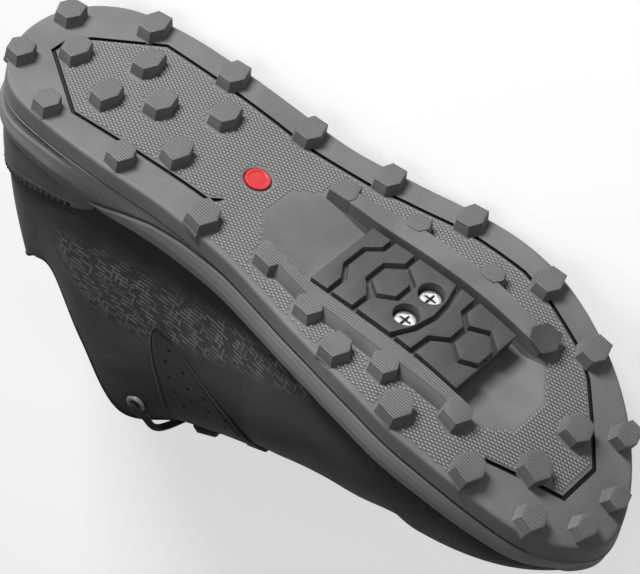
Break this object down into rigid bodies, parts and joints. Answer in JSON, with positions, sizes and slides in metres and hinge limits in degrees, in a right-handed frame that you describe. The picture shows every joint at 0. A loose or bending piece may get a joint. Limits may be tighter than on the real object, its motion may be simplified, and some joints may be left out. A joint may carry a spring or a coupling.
{
  "type": "cycling shoe",
  "caption": "Knitted lace-up cycling shoe for the right foot, lying on its lateral side, with a lugged rubber outsole and a covered cleat pocket.",
  "frame": {"origin": "bottom centre of the box round the shoe, as it lies on its lateral side", "axes": "X runs along the shoe with the toe towards -X, the sole faces -Y and the inner side faces up, +Z"},
  "size_m": [0.2796, 0.1344, 0.1061],
  "materials": {
    "sole_rubber": "matt moulded",
    "midsole_foam": "matt moulded foam",
    "insole_cloth": "brushed",
    "knit": "knitted",
    "tongue_cloth": "knitted",
    "collar_cloth": "brushed lining",
    "counter_foam": "matt moulded",
    "toe_guard": "rough ribbed",
    "webbing": "woven",
    "eyelet": "satin",
    "lace": "braided",
    "cover_rubber": "matt",
    "screw_steel": "bright",
    "badge": "satin"
  },
  "bodies": {
    "root": {"outsole": "sole_rubber", "midsole": "midsole_foam", "insole": "insole_cloth", "upper": "knit", "tongue": "tongue_cloth", "collar": "collar_cloth", "heel_counter": "counter_foam", "toe_cap": "toe_guard", "heel_tab": "webbing", "side_panel_inner": "knit", "side_panel_outer": "knit", "eyelet_inner": "eyelet", "eyelet_outer": "eyelet", "loop_inner_1": "webbing", "loop_outer_1": "webbing", "loop_inner_2": "webbing", "loop_outer_2": "webbing", "loop_inner_3": "webbing", "loop_outer_3": "webbing", "loop_inner_4": "webbing", "loop_outer_4": "webbing", "laces": "lace", "cleat_cover": "cover_rubber", "screw_inner": "screw_steel", "screw_outer": "screw_steel", "badge": "badge"}
  },
  "joints": []
}
